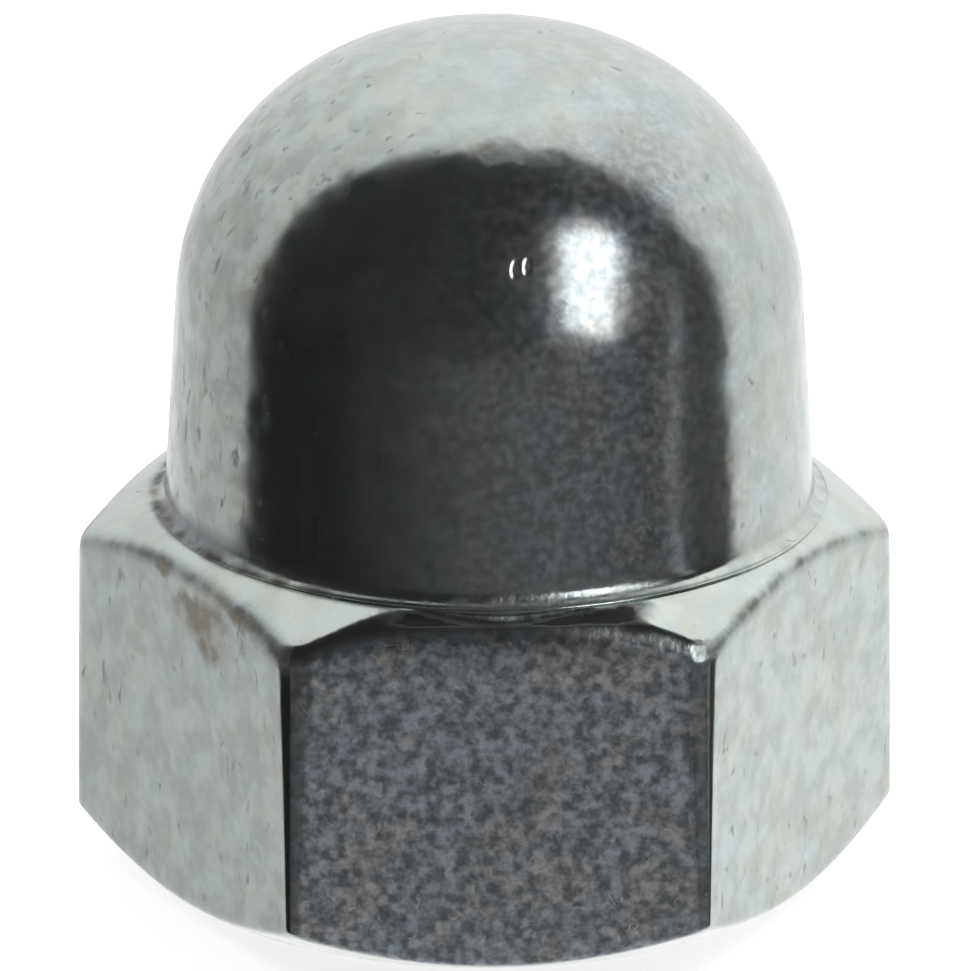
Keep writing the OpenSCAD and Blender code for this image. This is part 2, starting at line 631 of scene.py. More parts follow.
@dataclass(frozen=True)
class BrightZinc:
    """Bright zinc electroplate with a clear blue passivate, on cold formed and tumbled steel.

    It reflects like a soft mirror. A thin matt bloom of zinc salts mottles it and shows pale on
    whatever mirrors the dark, and tumbling has covered it with short nicks. A dark line runs along the
    flats' top edges, and painted shade darkens the dome's foot and the shoulder's rim before the rolled flat.
    """

    name: str = "bright_zinc_electroplate_on_steel"
    cool: str = "#bfc9c8"
    warm: str = "#c4c8c2"
    thin_bloom: str = "#6a6f73"
    blue_bloom: str = "#a9b3bd"
    warm_bloom: str = "#aeacaa"
    bloom_tint: float = 2.2
    # Bright plate is about 0.1 rough. The salts' crystals scatter more, and rubbed metal most.
    smooth_roughness: float = 0.12
    bloom_roughens: float = 0.25
    chalk_roughens: float = 0.22
    rub_roughens: float = 0.4
    layers: tuple[Layer, ...] = (
        Layer("smudge", "#8f928c", tint=3.5, roughens=0.6),
        Layer("fleck", "#777a74", tint=0.7, roughens=0.12),
        # Painted shade: the grey crescent in the dome's foot, on the left.
        Layer("crescent_shade", "#94969a", tint=1.0, roughens=0.1),
        # A dark line along the flats' top edges, and painted shade in the dome's foot and on the rolled
        # flat's rim.
        Layer("dark_line_and_shade", "#3a3a38", tint=1.0, roughens=0.3, dulls=0.5),
        Layer("stain", "#86837a", tint=1.0, roughens=0.08, dulls=0.15),
        Layer("scab", "#9b9a90", tint=1.0, roughens=0.3, dulls=0.6),
    )
    # Heights in millimetres.
    ripple_height: float = 0.02
    rasp_depth: float = 0.018
    scab_depth: float = 0.006
    dint_depth: float = 0.02
    thinnest: float = 0.4
    # The passivate's tint and the salts lie in patches of about a millimetre. Real crystals and nicks
    # are finer than 0.1 mm, which wouldn't show, so the grain and the flecks are drawn coarser.
    patch: Cloud = Cloud(1.3, 3.0, 0.38, 0.62)
    drift: Cloud = Cloud(1.2, 2.0, 0.36, 0.64)
    grain: Cloud = Cloud(0.24, 4.0, 0.28, 0.76)
    clump: Cloud = Cloud(0.8, 3.0, 0.36, 0.66)
    ripple: Cloud = Cloud(1.6, 2.0, 0.0, 1.0)
    least_matt: float = 0.42
    grain_matt: float = 0.14
    drift_matt: float = 0.1
    octaves: float = 2.0
    wisp_mm: float = 1.0
    wisp_twist: float = 0.5
    wisp_half: float = 0.02
    wisp_share: float = 0.6
    wisp_gap: Cloud = Cloud(0.45, 1.0, 0.52, 0.64)
    fleck_mm: float = 0.38
    fleck_twist: float = 0.6
    fleck_stretch: float = 2.0
    fleck_start: float = 0.72
    fleck_full: float = 0.88
    ragged_mm: float = 1 / 1.4
    ragged_reach_mm: float = 0.7
    # Centre and half sizes in millimetres, turn in radians, strength.
    marks: tuple[Mark, ...] = (
        Mark(Blemish.STAIN, (-7.2, -5.45, 8.35), (1.7, 0.9, 0.75), (0.0, 0.0, -SECTOR), 1.25),
        Mark(Blemish.STAIN, (-7.0, -5.8, 7.75), (0.9, 0.9, 0.85), (0.0, 0.0, -SECTOR), 1.2),
        Mark(Blemish.STAIN, (-8.16, -3.86, 9.05), (0.5, 0.4, 0.3), (0.0, 0.0, -SECTOR), 1.25),
        Mark(Blemish.STAIN, (-6.4, -7.0, 8.85), (1.5, 0.4, 0.32), (0.0, 0.3, -SECTOR), 1.25),
        Mark(Blemish.SCAB, (0.29, -5.03, 20.23), (0.75, 0.7, 0.42), (0.0, 0.0, 0.0), 0.8),
        Mark(Blemish.SCAB, (0.55, -7.1, 17.95), (0.5, 0.5, 0.75), (0.0, 0.3, 0.0), 0.22),
        Mark(Blemish.DINT, (0.48, -7.13, 17.9), (0.17, 0.3, 0.36), (0.0, 0.15, 0.0)),
        Mark(Blemish.DINT, (0.77, -7.13, 17.98), (0.16, 0.3, 0.3), (0.0, 0.15, 0.0)),
    )

    def material(self) -> bpy.types.Material:
        """Make the material.

        Returns:
            The material, with patterns on object coordinates in millimetres.
        """
        material = bpy.data.materials.new(self.name)
        material.use_nodes = True
        tree = material.node_tree
        tree.nodes.clear()
        place = add_node(tree, "ShaderNodeTexCoord", output="Object")
        place = add_node(tree, "ShaderNodeVectorMath", {0: place, "Scale": 1 / MM}, operation="SCALE")
        shares = self.shares(tree, place)
        shader = add_node(tree, "ShaderNodeBsdfPrincipled", {
            "Base Color": self.colour(tree, place, shares),
            "Metallic": self.metallic(tree, shares),
            "Roughness": self.roughness(tree, shares),
            "Normal": self.relief(tree, place, shares),
        })
        add_node(tree, "ShaderNodeOutputMaterial", {"Surface": shader})
        return material

    def shares(
        self, tree: bpy.types.NodeTree, place: bpy.types.NodeSocket
    ) -> dict[str, bpy.types.NodeSocket]:
        """Work out how much of each kind of wear every point shows.

        The mesh's own attributes say how much a region carries, and noise breaks it up.

        Args:
            tree: Node tree of the material.
            place: Object coordinates in millimetres.

        Returns:
            A share for each kind of wear, by its name.
        """
        amount, wear, dark_line_and_shade, crescent_shade, rub = (
            add_node(tree, "ShaderNodeAttribute", output="Fac", attribute_name=name)
            for name in ("bloom", "wear", "dark_line_and_shade", "crescent_shade", "rub")
        )
        drift = self.drift.shade(tree, place)
        grain = self.grain.shade(tree, place)
        clump = self.clump.shade(tree, place)
        thickness = add_node(
            tree, "ShaderNodeMath", {0: self.wisps(tree, place), 1: self.wisp_share, 2: grain},
            operation="MULTIPLY_ADD", use_clamp=True,
        )
        uneven = add_node(
            tree, "ShaderNodeMath", {0: clump, 1: 1 - self.thinnest, 2: self.thinnest},
            operation="MULTIPLY_ADD",
        )
        ragged = self.shaken(tree, place)
        shares = {
            "amount": amount,
            "drift": drift,
            "thickness": thickness,
            "bloom": self.bloomed(tree, amount, drift, thickness),
            "fleck": self.flecks(tree, place, wear),
            "crescent_shade": crescent_shade,
        }
        for name, region, pattern in (
            ("chalk", amount, amount),
            ("smudge", wear, clump),
            ("dark_line_and_shade", dark_line_and_shade, uneven),
            ("rub", rub, uneven),
            ("stain", self.marked(tree, ragged, Blemish.STAIN), uneven),
            ("scab", self.marked(tree, ragged, Blemish.SCAB), uneven),
        ):
            shares[name] = add_node(tree, "ShaderNodeMath", {0: region, 1: pattern}, operation="MULTIPLY")
        shares["rasp"] = add_node(
            tree, "ShaderNodeMath", {0: shares["rub"], 1: grain}, operation="MULTIPLY"
        )
        return shares

    def colour(
        self,
        tree: bpy.types.NodeTree,
        place: bpy.types.NodeSocket,
        shares: dict[str, bpy.types.NodeSocket],
    ) -> bpy.types.NodeSocket:
        """Lay the bloom and the layers of wear over the plate, whose tint varies in soft patches.

        Args:
            tree: Node tree of the material.
            place: Object coordinates in millimetres.
            shares: Share of each kind of wear.

        Returns:
            The base colour, as a socket.
        """
        patch = self.patch.shade(tree, place)
        colour = add_node(
            tree, "ShaderNodeMix", {0: patch, 6: linear(self.cool), 7: linear(self.warm)}, 2, data_type="RGBA"
        )
        bloom_colour = add_node(
            tree, "ShaderNodeMix",
            {0: shares["drift"], 6: linear(self.blue_bloom), 7: linear(self.warm_bloom)},
            2, data_type="RGBA",
        )
        bloom_colour = add_node(
            tree, "ShaderNodeMix", {0: shares["thickness"], 6: linear(self.thin_bloom), 7: bloom_colour},
            2, data_type="RGBA",
        )
        covers = [(shares["amount"], self.bloom_tint, bloom_colour)]
        covers += [(shares[layer.share], layer.tint, linear(layer.colour)) for layer in self.layers]
        for share, tint, shade in covers:
            cover = add_node(
                tree, "ShaderNodeMath", {0: share, 1: tint}, operation="MULTIPLY", use_clamp=True
            )
            colour = add_node(tree, "ShaderNodeMix", {0: cover, 6: colour, 7: shade}, 2, data_type="RGBA")
        return colour

    def metallic(
        self, tree: bpy.types.NodeTree, shares: dict[str, bpy.types.NodeSocket]
    ) -> bpy.types.NodeSocket:
        """Full metal, less the bloom's matt share and what the layers of wear dull.

        Args:
            tree: Node tree of the material.
            shares: Share of each kind of wear.

        Returns:
            Metallic, from 0 to 1, as a socket.
        """
        dulling = [(shares["bloom"], 1.0)]
        dulling += [(shares[layer.share], layer.dulls) for layer in self.layers if layer.dulls]
        metal = 1.0
        for share, dulls in dulling:
            metal = add_node(
                tree, "ShaderNodeMath", {0: share, 1: -dulls, 2: metal},
                operation="MULTIPLY_ADD", use_clamp=True,
            )
        return metal

    def roughness(
        self, tree: bpy.types.NodeTree, shares: dict[str, bpy.types.NodeSocket]
    ) -> bpy.types.NodeSocket:
        """Smooth plate, roughened by the bloom, by its chalk, by rubbing and by the layers of wear.

        The chalk is the square of the bloom's amount, so that it counts on the front flat alone.

        Args:
            tree: Node tree of the material.
            shares: Share of each kind of wear.

        Returns:
            Roughness, as a socket.
        """
        roughening = [
            (shares["bloom"], self.bloom_roughens),
            (shares["chalk"], self.chalk_roughens),
            (shares["rub"], self.rub_roughens),
        ]
        roughening += [(shares[layer.share], layer.roughens) for layer in self.layers]
        rough = self.smooth_roughness
        for share, roughens in roughening:
            rough = add_node(
                tree, "ShaderNodeMath", {0: share, 1: roughens, 2: rough}, operation="MULTIPLY_ADD"
            )
        return rough

    def relief(
        self,
        tree: bpy.types.NodeTree,
        place: bpy.types.NodeSocket,
        shares: dict[str, bpy.types.NodeSocket],
    ) -> bpy.types.NodeSocket:
        """Bump of the tumbled surface: soft ripples, rubbed grain, the scab's dip and the dints.

        Args:
            tree: Node tree of the material.
            place: Object coordinates in millimetres.
            shares: Share of each kind of wear.

        Returns:
            The bumped normal, as a socket.
        """
        height = 0.0
        for share, raises in (
            (self.ripple.shade(tree, place), self.ripple_height),
            (shares["rasp"], -self.rasp_depth),
            (shares["scab"], -self.scab_depth),
            (self.marked(tree, place, Blemish.DINT), -self.dint_depth),
        ):
            height = add_node(
                tree, "ShaderNodeMath", {0: share, 1: raises, 2: height}, operation="MULTIPLY_ADD"
            )
        return add_node(tree, "ShaderNodeBump", {"Strength": 1.0, "Distance": MM, "Height": height})

    def bloomed(
        self,
        tree: bpy.types.NodeTree,
        amount: bpy.types.NodeSocket,
        drift: bpy.types.NodeSocket,
        thickness: bpy.types.NodeSocket,
    ) -> bpy.types.NodeSocket:
        """How matt the bloom makes each point.

        That is amount * (least_matt + thickness * (grain_matt + drift_matt * drift)). Where the
        front flat is fully covered it stays above 0.42, and reads as one even matt surface. On the
        dome it stays under 0.25, which keeps the mirror.

        Args:
            tree: Node tree of the material.
            amount: How much bloom that part of the nut carries.
            drift: Soft noise of its drifts.
            thickness: Its grain and wisps.

        Returns:
            The share that is matt, as a socket.
        """
        drifted = add_node(
            tree, "ShaderNodeMath", {0: drift, 1: self.drift_matt, 2: self.grain_matt},
            operation="MULTIPLY_ADD",
        )
        matt = add_node(
            tree, "ShaderNodeMath", {0: thickness, 1: drifted, 2: self.least_matt},
            operation="MULTIPLY_ADD",
        )
        return add_node(tree, "ShaderNodeMath", {0: matt, 1: amount}, operation="MULTIPLY")

    def wisps(self, tree: bpy.types.NodeTree, place: bpy.types.NodeSocket) -> bpy.types.NodeSocket:
        """Short pale wisps: thin bands where soft noise is near its middle value, broken by other noise.

        Args:
            tree: Node tree of the material.
            place: Object coordinates in millimetres.

        Returns:
            Share that the wisps cover, as a socket.
        """
        noise = add_node(
            tree, "ShaderNodeTexNoise",
            {
                "Vector": place,
                "Scale": 1 / self.wisp_mm,
                "Detail": self.octaves,
                "Distortion": self.wisp_twist,
            },
        )
        off = add_node(tree, "ShaderNodeMath", {0: noise, 1: 0.5}, operation="SUBTRACT")
        off = add_node(tree, "ShaderNodeMath", {0: off}, operation="ABSOLUTE")
        band = add_node(
            tree, "ShaderNodeMapRange", {"Value": off, "From Min": self.wisp_half, "From Max": 0.0},
            interpolation_type="SMOOTHSTEP",
        )
        here = self.wisp_gap.shade(tree, place)
        return add_node(tree, "ShaderNodeMath", {0: band, 1: here}, operation="MULTIPLY")

    def flecks(
        self, tree: bpy.types.NodeTree, place: bpy.types.NodeSocket, wear: bpy.types.NodeSocket
    ) -> bpy.types.NodeSocket:
        """Dull flecks where noise drawn out upwards peaks: the more wear, the lower the peaks that count.

        Args:
            tree: Node tree of the material.
            place: Object coordinates in millimetres.
            wear: How worn that part of the nut is.

        Returns:
            Share that the flecks cover, as a socket.
        """
        drawn = add_node(
            tree, "ShaderNodeVectorMath", {0: place, 1: (1.0, 1.0, 1 / self.fleck_stretch)},
            operation="MULTIPLY",
        )
        noise = add_node(
            tree, "ShaderNodeTexNoise",
            {
                "Vector": drawn,
                "Scale": 1 / self.fleck_mm,
                "Detail": self.octaves,
                "Distortion": self.fleck_twist,
            },
        )
        peak = add_node(tree, "ShaderNodeMath", {0: noise, 1: wear}, operation="ADD")
        return add_node(
            tree, "ShaderNodeMapRange",
            {"Value": peak, "From Min": self.fleck_start, "From Max": self.fleck_full},
            interpolation_type="SMOOTHSTEP",
        )

    def shaken(self, tree: bpy.types.NodeTree, place: bpy.types.NodeSocket) -> bpy.types.NodeSocket:
        """The place moved by soft noise, about half its reach each way, for ragged outlines.

        Args:
            tree: Node tree of the material.
            place: Object coordinates in millimetres.

        Returns:
            The place moved, as a socket.
        """
        noise = add_node(
            tree, "ShaderNodeTexNoise",
            {"Vector": place, "Scale": 1 / self.ragged_mm, "Detail": self.octaves}, "Color",
        )
        noise = add_node(tree, "ShaderNodeVectorMath", {0: noise, 1: (0.5,) * 3}, operation="SUBTRACT")
        return add_node(
            tree, "ShaderNodeVectorMath", {0: noise, 1: (self.ragged_reach_mm,) * 3, 2: place},
            operation="MULTIPLY_ADD",
        )

    def marked(
        self, tree: bpy.types.NodeTree, place: bpy.types.NodeSocket, kind: Blemish
    ) -> bpy.types.NodeSocket:
        """The strongest shade of all marks of one kind.

        Args:
            tree: Node tree of the material.
            place: Object coordinates in millimetres.
            kind: Kind of mark wanted.

        Returns:
            The shade, as a socket.
        """
        shade = 0.0
        for mark in self.marks:
            if mark.kind is kind:
                shade = add_node(
                    tree, "ShaderNodeMath", {0: shade, 1: mark.mask(tree, place)}, operation="MAXIMUM"
                )
        return shade


@dataclass
class WearMap:
    """Where the nut carries bloom, flecks, a dark edge line, painted shade and rubbing.

    Each method gives a share for every point, and the finish reads it as the attribute of its name.
    Stops pair a place, in millimetres or as a share of a length, with a level.
    """

    body: HexagonBody
    dome: Dome
    hole: TappedHole
    # Bloom: on the flats and the dome, then how it is rubbed off the edges and thickens low down.
    front_bloom: float = 1.0
    flat_bloom: float = 0.07
    dome_bloom: Stops = ((-5.0, 0.04), (-2.0, 0.1), (1.5, 0.34), (3.8, 0.37), (5.0, 0.16), (7.0, 0.08))
    crown_bloom: Stops = ((0.0, 0.0), (0.6, 1.0), (9.6, 1.0), (11.2, 0.3))
    bare_width: Stops = ((0.0, 0.12), (1.0, 0.52))
    bare_corner: Stops = ((0.0, 0.3), (0.15, 1.0))
    bare_top: Stops = ((0.05, 0.0), (0.25, 1.0))
    bare_below_skin: Stops = ((-0.35, 0.0), (0.0, 1.0))
    low_bloom: float = 0.6
    low_bloom_z: float = 1.6
    # Flecks: on the flats, by distance from their top edges, and across the dome.
    front_flecks: float = 0.02
    flat_flecks: float = 0.1
    edge_flecks: float = 0.05
    edge_to_flat: Stops = ((0.1, 0.0), (0.4, 1.0))
    dome_flecks: Stops = ((-5.5, 0.13), (-3.0, 0.09), (0.0, 0.06), (8.0, 0.08))
    # Dark colour: a line along the flats' top edges, painted shade in the dome's foot, and a painted dark
    # band out to the rolled flat's rim.
    line_middle: float = 0.05
    line_width: Stops = ((0.0, 0.12), (1.0, 0.24))
    line_darkness: Stops = ((0.0, 0.5), (1.0, 1.05))
    foot_in: float = 0.1
    foot_width: Stops = ((0.0, 0.14), (1.0, 0.18))
    foot_shade: float = 0.15
    foot_shade_left: float = 0.75
    foot_left: Stops = ((-5.4, 1.0), (3.6, 0.0))
    foot_clean_x: float = 1.0
    foot_ends: Stops = ((1.6, 0.3), (3.0, 1.0))
    foot_fade: float = 0.1
    rim_shade: float = 2.6
    rim_across: Stops = ((-2.9, 0.0), (-2.1, 1.0), (3.1, 1.0), (3.9, 0.0))
    rim_in: Stops = ((0.0, 0.0), (0.1, 1.0))
    rim_deep: float = 0.4
    # Painted shade, a grey crescent: by height over the shoulder, by distance past the foot, and by y along
    # the crescent.
    crescent_shade_most: float = 0.85
    crescent_shade_above: Stops = ((-0.1, 0.0), (0.0, 1.0), (0.3, 1.0), (0.55, 0.0))
    crescent_shade_past: Stops = ((0.0, 1.0), (0.1, 0.0))
    crescent_shade_along: Stops = ((-6.2, 0.0), (-4.4, 1.0), (-1.4, 1.0), (-0.8, 0.0))
    # Rubbing: in the dome's foot, and along the rolled flat's edges.
    rub_in: float = 0.15
    rub_width: float = 0.2
    rub_deep: float = 0.45
    rub_across: Stops = ((-2.2, 0.0), (-1.2, 1.0), (3.0, 1.0), (4.5, 0.0))
    rub_past: Stops = ((-0.05, 1.0), (0.0, 0.0))
    rub_edge: Stops = ((0.0, 0.0), (4.0, 1.0))

    def past_foot(self, points: NDArray[np.float64]) -> NDArray[np.float64]:
        """How much farther from the dome's axis each point lies than the dome's foot."""
        return self.dome.from_axis(points) - self.dome.foot_r

    def bloom(self, points: NDArray[np.float64]) -> NDArray[np.float64]:
        """How much matt bloom each point carries.

        The front flat carries most, the other flats a little. On the dome it grows from the left
        to the right of the front and thins out over the crown. A flat's top and upright edges are
        rubbed bare over a width that grows upwards, and its bottom edge carries more.

        Args:
            points: Points of the nut's surface.

        Returns:
            Share for each point, up to about 1.6.
        """
        x, _, z = points.T
        width = graded(z / self.body.height, self.bare_width)
        covered = graded(self.body.from_corner(points) - width, self.bare_corner)
        covered *= graded(-self.body.outside_top(points), self.bare_top)
        covered *= graded(self.body.outside_flats(points), self.bare_below_skin)
        covered *= 1 + self.low_bloom * np.exp(-z / self.low_bloom_z)
        on_front = self.body.on_flat(points, Flat.FRONT)
        on_flats = np.where(on_front, self.front_bloom, self.flat_bloom) * covered
        on_dome = graded(x, self.dome_bloom) * graded(z - self.body.height, self.crown_bloom)
        return np.where(z < self.body.height, on_flats, on_dome)

    def wear(self, points: NDArray[np.float64]) -> NDArray[np.float64]:
        """How much each point's flecks show.

        They show most on the dome's left and least on the front flat, and not at all in the thread.

        Args:
            points: Points of the nut's surface.

        Returns:
            Share for each point.
        """
        x, y, z = points.T
        on_front = self.body.on_flat(points, Flat.FRONT)
        most = np.where(on_front, self.front_flecks, self.flat_flecks)
        from_edge = graded(-self.body.outside_top(points), self.edge_to_flat)
        on_flats = self.edge_flecks + (most - self.edge_flecks) * from_edge
        on_flats *= np.hypot(x, y) > self.hole.mouth_r
        return np.where(z > self.body.height, graded(x, self.dome_flecks), on_flats)

    def dark_line_and_shade(self, points: NDArray[np.float64]) -> NDArray[np.float64]:
        """How much dark colour each point holds: a dark line along the flats' top edges, and painted shade in
        the dome's foot.

        The edge line thickens towards one end of each flat on the left. The foot's painted shade is stronger
        on the left and weaker round foot_clean_x, and before the rolled flat a painted dark band reaches out
        to the shoulder's rim.

        Args:
            points: Points of the nut's surface.

        Returns:
            Share for each point, up to rim_shade.
        """
        x, _, z = points.T
        above = z - self.body.height
        rolled = self.body.on_flat(points, self.body.rolled_flat)
        along = (self.body.off_normal(points) / SECTOR + 0.5) * (x < 0)
        line = bell(self.body.off_top_edge(points), self.line_middle, graded(along, self.line_width))
        line *= graded(along, self.line_darkness) * ~rolled * (z > self.body.height / 2)
        past_foot = self.past_foot(points)
        # Painted shade in the dome's foot, stronger on the left.
        foot = bell(past_foot, -self.foot_in, graded(-x / self.dome.side_r, self.foot_width))
        top, fade = self.dome.fillet_r, self.foot_fade
        foot *= graded(above, ((-2 * fade, 0.0), (-fade / 2, 1.0), (top, 1.0), (top + fade, 0.0)))
        left = graded(x, self.foot_left) * graded(np.abs(x - self.foot_clean_x), self.foot_ends)
        foot *= self.foot_shade + self.foot_shade_left * left
        # A painted dark band, standing in for shade, on the shoulder's rim before the rolled flat.
        rim = graded(x, self.rim_across) * graded(past_foot, self.rim_in)
        rim *= rolled & (above > -self.rim_deep)
        return np.clip(line + foot + self.rim_shade * rim, 0, self.rim_shade)

    def crescent_shade(self, points: NDArray[np.float64]) -> NDArray[np.float64]:
        """How much painted shade each point holds: a grey crescent in the dome's foot, on the left of the
        front.

        Args:
            points: Points of the nut's surface.

        Returns:
            Share for each point.
        """
        x, y, z = points.T
        band = graded(z - self.body.height, self.crescent_shade_above) * graded(self.past_foot(points), self.crescent_shade_past)
        return self.crescent_shade_most * band * graded(y, self.crescent_shade_along) * (x < 0)

    def rub(self, points: NDArray[np.float64]) -> NDArray[np.float64]:
        """How much rubbing has roughened each point: the dome's foot in front, and the rolled flat's edges.

        On the edges it grows from the middle of the flat to its right end.

        Args:
            points: Points of the nut's surface.

        Returns:
            Share for each point, up to 1.
        """
        x, y, z = points.T
        past_foot = self.past_foot(points)
        foot = bell(past_foot, -self.rub_in, self.rub_width) * graded(past_foot, self.rub_past)
        foot *= graded(x, self.rub_across) * (y < 0) * (np.abs(z - self.body.height) < self.rub_deep)
        edge = bell(self.body.off_top_edge(points), 0.0, self.rub_width) * graded(x, self.rub_edge)
        edge *= (y < -self.body.apothem / 2) & (z < self.body.height)
        return np.clip(foot + edge, 0, 1)


@dataclass
class CapNut:
    """The whole nut: dome, hexagon and tapped hole as one closed, plated surface."""

    body: HexagonBody
    dome: Dome
    hole: TappedHole
    finish: BrightZinc = field(default_factory=BrightZinc)
    flat_columns: int = 40
    corner_columns: int = 14
    corner_reserve: float = 0.8

    def headings(self) -> NDArray[np.float64]:
        """Headings of the columns: even along each flat, closer together round each corner.

        Along a flat the heading is atan(t / apothem) off its normal, for even steps of t.

        Returns:
            Headings from 0 up to a full turn, with the first in the middle of a corner.
        """
        half_flat = (self.body.apothem - self.corner_reserve) * math.tan(SECTOR / 2)
        end = math.atan(half_flat / self.body.apothem)
        flat = np.arctan(np.linspace(-half_flat, half_flat, self.flat_columns) / self.body.apothem)
        half_corner = np.linspace(-SECTOR / 2, -end, self.corner_columns // 2 + 1)[:-1]
        sector = np.concatenate([half_corner, flat, -half_corner[:0:-1]]) + SECTOR / 2
        return (np.arange(len(Flat))[:, None] * SECTOR + sector).ravel()

    def surface(self) -> tuple[NDArray[np.float64], NDArray[np.int64]]:
        """All points and triangles of the nut.

        Four grids share their end rings: dome, body, thread and drill's point. Equal points are
        merged, which closes the seams, and triangles that this empties are dropped.

        Returns:
            Points in millimetres and triangles as point numbers.
        """
        heading = self.headings()
        thread, shift = self.hole.grid(heading)
        dome = self.dome.grid(heading)
        grids = [
            (dome, 0),
            (self.body.grid(heading, dome[-1], self.hole.mouth_r), 0),
            (thread, shift),
            (self.hole.point_grid(heading), 0),
        ]
        points, faces, start = [], [], 0
        for grid, seam_shift in grids:
            points.append(grid.reshape(-1, 3))
            faces.append(start + self.grid_faces(grid.shape[0], grid.shape[1], seam_shift))
            start += grid.shape[0] * grid.shape[1]
        columns = len(heading)
        ring = np.arange(columns)
        last = start - columns
        points += [self.dome.pole()[None], self.hole.tip()[None]]
        faces.append(np.stack([np.full(columns, start), ring, np.roll(ring, -1)], axis=1))
        faces.append(np.stack([np.full(columns, start + 1), last + np.roll(ring, -1), last + ring], axis=1))
        return self.merged(np.concatenate(points), np.concatenate(faces))

    @staticmethod
    def grid_faces(rings: int, columns: int, seam_shift: int) -> NDArray[np.int64]:
        """Triangles of a grid that closes on itself, wound so that they face outwards.

        A cell lies between a point, the one beside it, and the two that follow them in the next
        ring. Its first triangle is the point, the next in its column and that one's neighbour.

        Args:
            rings: Number of rings.
            columns: Number of points in a ring.
            seam_shift: How many rings on the last column meets the first.

        Returns:
            Triangles as point numbers, two for each cell.
        """
        ring, column = np.meshgrid(np.arange(rings - 1), np.arange(columns - 1), indexing="ij")
        cell = (ring * columns + column).ravel()
        seam = np.arange(rings - 1 - seam_shift)
        here = np.concatenate([cell, seam * columns + columns - 1])
        beside = np.concatenate([cell + 1, (seam + seam_shift) * columns])
        return np.concatenate([
            np.stack([here, here + columns, beside + columns], axis=1),
            np.stack([here, beside + columns, beside], axis=1),
        ])

    @staticmethod
    def merged(
        points: NDArray[np.float64], faces: NDArray[np.int64]
    ) -> tuple[NDArray[np.float64], NDArray[np.int64]]:
        """Merge points that agree to a hundredth of a micrometre, and drop triangles left without area.

        Args:
            points: Points in millimetres.
            faces: Triangles as point numbers.

        Returns:
            The points that stay, and the triangles between them.
        """
        _, first, number = np.unique(np.round(points, 5), axis=0, return_index=True, return_inverse=True)
        faces = number.ravel()[faces]
        whole = (faces[:, 0] != faces[:, 1]) & (faces[:, 1] != faces[:, 2]) & (faces[:, 2] != faces[:, 0])
        return points[first], faces[whole]

    def build(self) -> bpy.types.Object:
        """Make the mesh, dress it and put it in the CAD node's place.

        Returns:
            The finished object.
        """
        points, faces = self.surface()
        mesh = bpy.data.meshes.new("cap_nut_plated")
        mesh.vertices.add(len(points))
        mesh.vertices.foreach_set("co", (points * MM).ravel())
        mesh.loops.add(faces.size)
        mesh.loops.foreach_set("vertex_index", faces.ravel())
        mesh.polygons.add(len(faces))
        mesh.polygons.foreach_set("loop_start", np.arange(len(faces)) * 3)
        mesh.polygons.foreach_set("use_smooth", np.ones(len(faces), dtype=bool))
        mesh.update(calc_edges=True)
        worn = WearMap(self.body, self.dome, self.hole)
        for name, share in (
            ("bloom", worn.bloom(points)),
            ("wear", worn.wear(points)),
            ("dark_line_and_shade", worn.dark_line_and_shade(points)),
            ("crescent_shade", worn.crescent_shade(points)),
            ("rub", worn.rub(points)),
        ):
            mesh.attributes.new(name, "FLOAT", "POINT").data.foreach_set("value", share)
        mesh.materials.append(self.finish.material())
        nut = bpy.data.objects.new("cap_nut_plated", mesh)
        bpy.context.collection.objects.link(nut)
        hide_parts(NODE)
        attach(nut, "root")
        return nut


@dataclass(frozen=True)
class Fade:
    """A level of light that changes evenly along one axis of the direction, and is held beyond its ends."""

    axis: str
    start: float
    end: float
    start_level: float = 0.0
    end_level: float = 1.0


